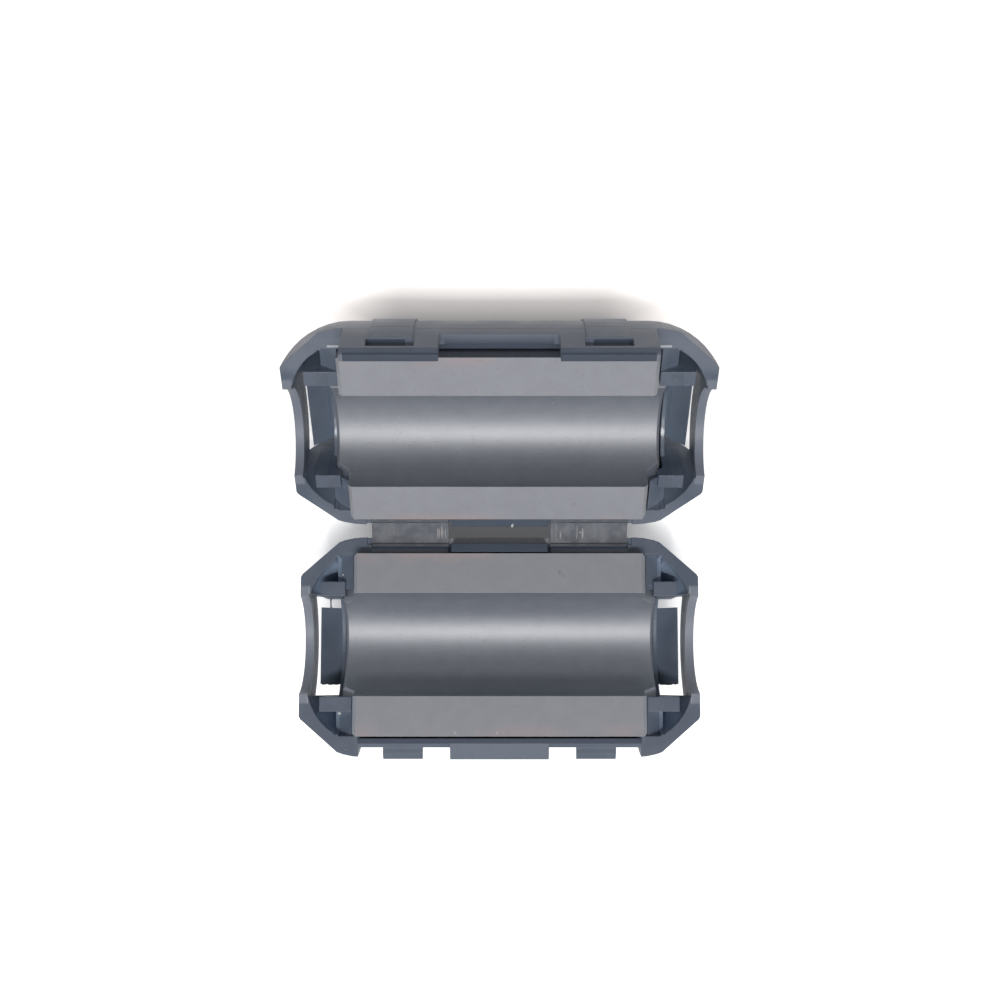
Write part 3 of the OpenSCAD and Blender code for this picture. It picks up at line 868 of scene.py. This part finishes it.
settled_crumbs, put, out = new_geometry_tree("settled_crumbs", {"Seed": "Int",
                                                                "Material": "Material"})
own_radius = geo(settled_crumbs, "InputNamedAttribute", {"Name": "radius"}, data_type="FLOAT")
ball = geo(settled_crumbs, "MeshIcoSphere", {"Radius": 1.0, "Subdivisions": 2})
uneven = random_vector(settled_crumbs, *SQUASH, put["Seed"])
size = add(settled_crumbs, "VectorMath", {0: uneven, "Scale": own_radius.outputs[0]},
           operation="SCALE")
turn = random_vector(settled_crumbs, (0, 0, 0), (FULL_TURN,) * 3, put["Seed"])
balls = geo(settled_crumbs, "InstanceOnPoints", {
    "Points": put["Geometry"], "Instance": ball.outputs[0], "Rotation": turn,
    "Scale": size.outputs[0]})
coat_and_end(settled_crumbs, balls.outputs[0], put["Material"], out)

crumb, tree, shader, where = new_material("pale_crumb", Roughness=0.7)
grit = noise(tree, where, 0.06 * MM)
tree.links.new(blend(tree, ramp(tree, grit, 0.35, 0.65), CRUMB_DARK, CRUMB_PALE),
               shader.inputs["Base Color"])
relief(tree, shader, grit, 0.01 * MM)

for seed, (body, places) in enumerate(settled.items()):
    if not places:
        continue
    mesh = bpy.data.meshes.new("crumb_spots_" + body)
    mesh.from_pydata([spot for spot, _ in places], [], [])
    radii = mesh.attributes.new("radius", "FLOAT", "POINT")
    radii.data.foreach_set("value", [radius for _, radius in places])
    piece = grown("crumbs_on_" + body, settled_crumbs, mesh, {"Seed": seed, "Material": crumb})
    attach(piece, body)

# %% [markdown]
# ## Mould flash at the lower tongues
#
# Where two steels of a mould meet, a little melt creeps between them and leaves
# flash. One piece of it is a thread across the slot beside a tongue. It could be a
# curve with a bevel, but a tube swept ring by ring needs no curve and can grow thin
# in the middle. Both kinds of flash are placed by the same three distances as the
# finishes use.

# %% Flash: a thread across a slot
THREAD_STEPS = 10
THREAD_RADIUS, THREAD_THINNER = 0.11, 0.05


def on_half(along, across, height, side):
    """A point in the frame from its place on a half, in mm. side is -1 for the lower half."""
    out_y = AXIS_Y / MM + across * math.cos(LEAN) - height * math.sin(LEAN)
    out_z = AXIS_Z / MM + across * math.sin(LEAN) + height * math.cos(LEAN)
    return Vector((along, side * out_y, out_z)) * MM


def mesh_piece(name, bm, material):
    bmesh.ops.remove_doubles(bm, verts=bm.verts, dist=1e-7)
    bmesh.ops.recalc_face_normals(bm, faces=bm.faces)
    mesh = bpy.data.meshes.new(name)
    bm.to_mesh(mesh)
    bm.free()
    mesh.materials.append(material)
    print(name, "has", len(mesh.polygons), "faces")
    return link(bpy.data.objects.new(name, mesh))


def skinned(bm, rings):
    """Closes a row of rings of points into one solid."""
    for near, far in zip(rings, rings[1:]):
        for k in range(len(near)):
            after = (k + 1) % len(near)
            bm.faces.new((near[k], near[after], far[after], far[k]))
    bm.faces.new(rings[0][::-1])
    bm.faces.new(rings[-1])


def swept_thread(bm, points, radii, sides=8):
    """A closed tube of round sections along the points."""
    rings = []
    for i, point in enumerate(points):
        ahead = points[min(i + 1, len(points) - 1)] - points[max(i - 1, 0)]
        turn = ahead.to_track_quat("Z", "Y")
        angles = [2 * math.pi * k / sides for k in range(sides)]
        rings.append([bm.verts.new(point + turn @ Vector((
            radii[i] * math.cos(a), radii[i] * math.sin(a), 0))) for a in angles])
    skinned(bm, rings)


bm = bmesh.new()
steps = [k / THREAD_STEPS for k in range(THREAD_STEPS + 1)]
thread = [on_half(-15.48 - 0.08 * math.sin(2.2 * t), -4.36 + 0.95 * t,
                  -4.7 - 0.84 * t - 0.1 * math.sin(math.pi * t), -1) for t in steps]
swept_thread(bm, thread, [(THREAD_RADIUS - THREAD_THINNER * math.sin(math.pi * t)) * MM
                          for t in steps])
thread_piece = mesh_piece("flash_thread", bm, slate)
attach(thread_piece, "lower")

# %% [markdown]
# The other kind of flash is a thin ragged fringe along each tongue's latch edge. A
# strip of uneven reach, given a thickness, makes it. It could come from a noise
# displacement, but a few random reaches with a fixed seed are as ragged and stay few.

# %% Flash: a fringe on each tongue
ROOT, TIP = (14.55, -6.3), (16.35, -4.8)  # along and up, of the top of a tongue in mm
TONGUE_EDGE = 3.5
FRINGE_STEPS = 18
FRINGE_SPAN = (0.04, 0.92)  # where it starts and how long it is, as shares of the tongue
FRINGE_REACH = (0.03, 0.15)
INSIDE = -0.12

for name, end in (("flash_fringe_left", -1), ("flash_fringe_right", 1)):
    bm = bmesh.new()
    ragged = random.Random(40 + end)
    sections = []
    for k in range(FRINGE_STEPS + 1):
        share = FRINGE_SPAN[0] + FRINGE_SPAN[1] * k / FRINGE_STEPS
        along, top = (ROOT[i] + (TIP[i] - ROOT[i]) * share for i in (0, 1))
        reach = ragged.uniform(*FRINGE_REACH) * math.sin(math.pi * share) ** 0.4
        outline = (INSIDE, -0.02), (reach, -0.05), (reach, -0.10), (INSIDE, -0.16)
        sections.append([bm.verts.new(on_half(end * along, TONGUE_EDGE + a, top + u, -1))
                         for a, u in outline])
    skinned(bm, sections)
    fringe = mesh_piece(name, bm, slate)
    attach(fringe, "lower")
